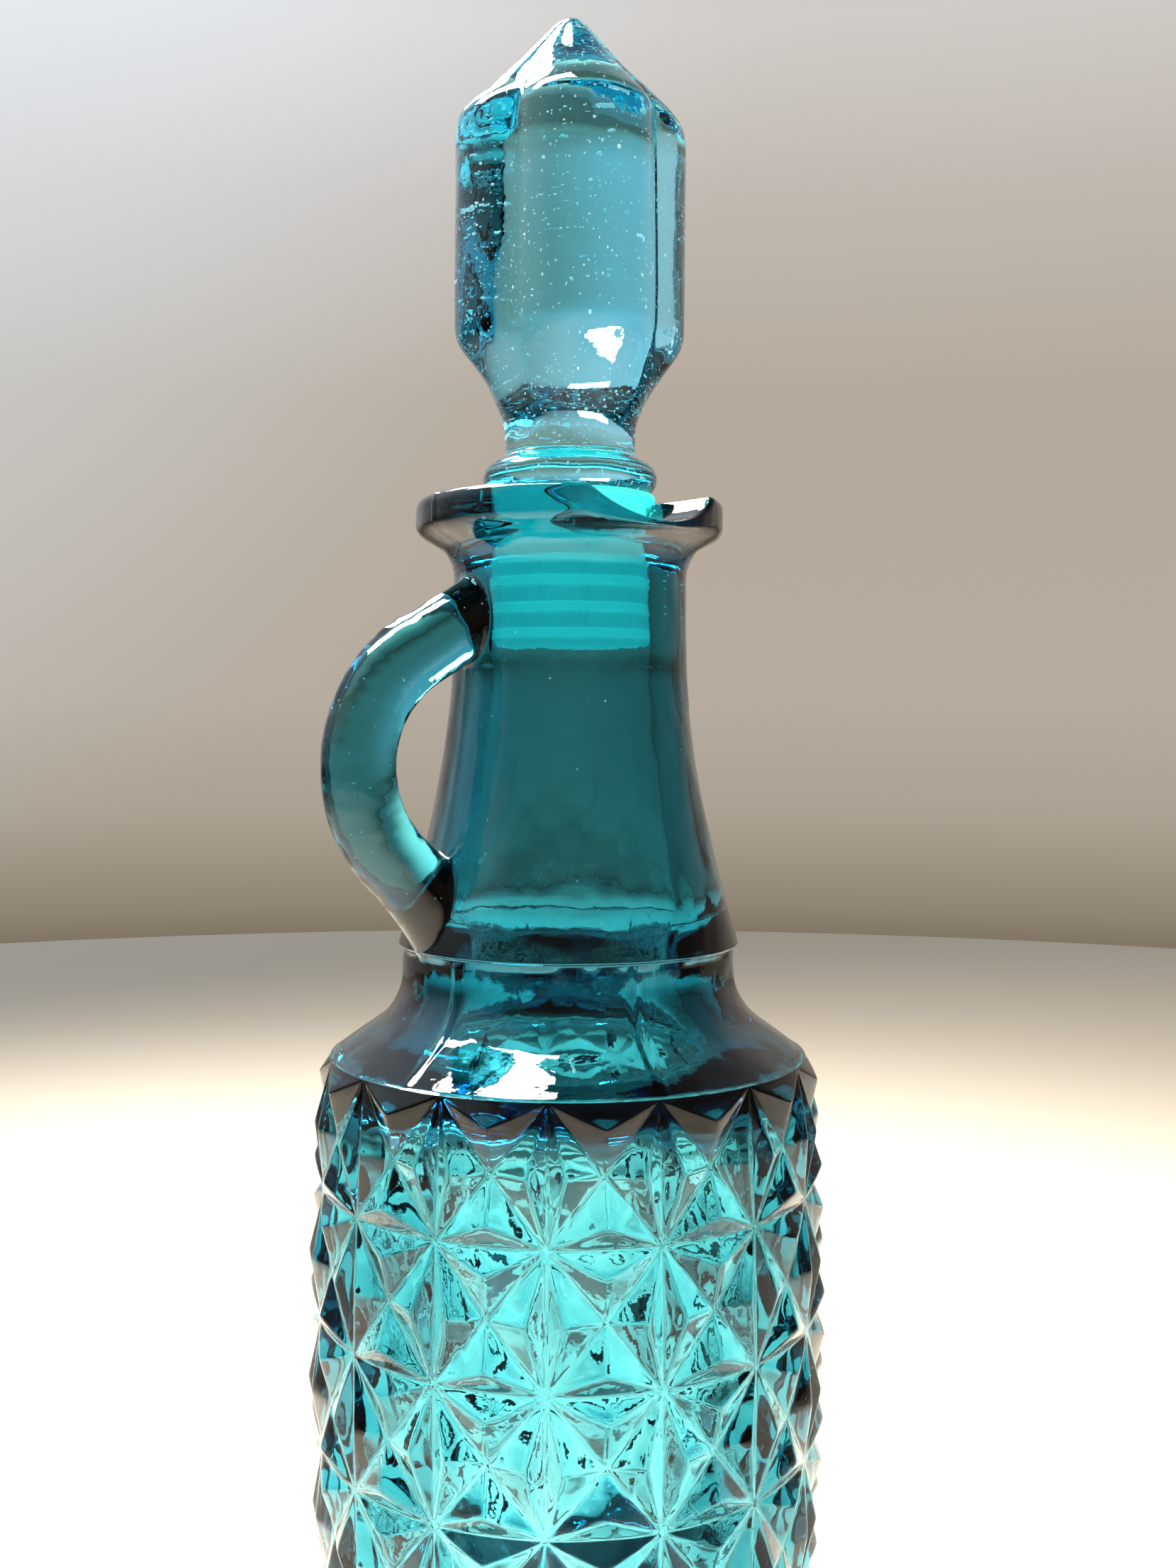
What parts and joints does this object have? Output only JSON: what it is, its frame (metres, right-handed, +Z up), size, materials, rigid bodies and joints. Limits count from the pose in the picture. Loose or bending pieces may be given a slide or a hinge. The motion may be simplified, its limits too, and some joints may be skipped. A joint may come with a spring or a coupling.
{
  "type": "glass decanter with stopper",
  "caption": "Pressed-glass decanter with star-patterned barrel body, flared neck, loop handle, pouring notch and lift-out lobed stopper in a ribbed plastic sleeve.",
  "frame": {"origin": "centre of the foot, on the surface that the decanter stands on", "axes": "+Z up along the bottle's axis; the handle lies on -X"},
  "size_m": [0.083, 0.0817, 0.2676],
  "materials": {
    "bottle_glass": "fire-polished teal pressed glass",
    "handle_glass": "teal glass with a faint orange-peel surface",
    "stopper_glass": "teal glass full of fine seed bubbles",
    "sleeve_plastic": "translucent pale green moulded plastic"
  },
  "bodies": {
    "bottle": {"bottle": "bottle_glass", "handle": "handle_glass"},
    "sleeve": {"stopper_sleeve": "sleeve_plastic"},
    "finial": {"stopper": "stopper_glass"}
  },
  "joints": [
    {"name": "stopper_lift", "type": "slide", "parent": "bottle", "child": "sleeve", "axis": [0, 0, 1], "range_m": [0, 0.035]},
    {"name": "stopper_twist", "type": "hinge", "parent": "sleeve", "child": "finial", "pos_m": [0, 0, 0.1926], "axis": [0, 0, 1], "continuous": true}
  ]
}
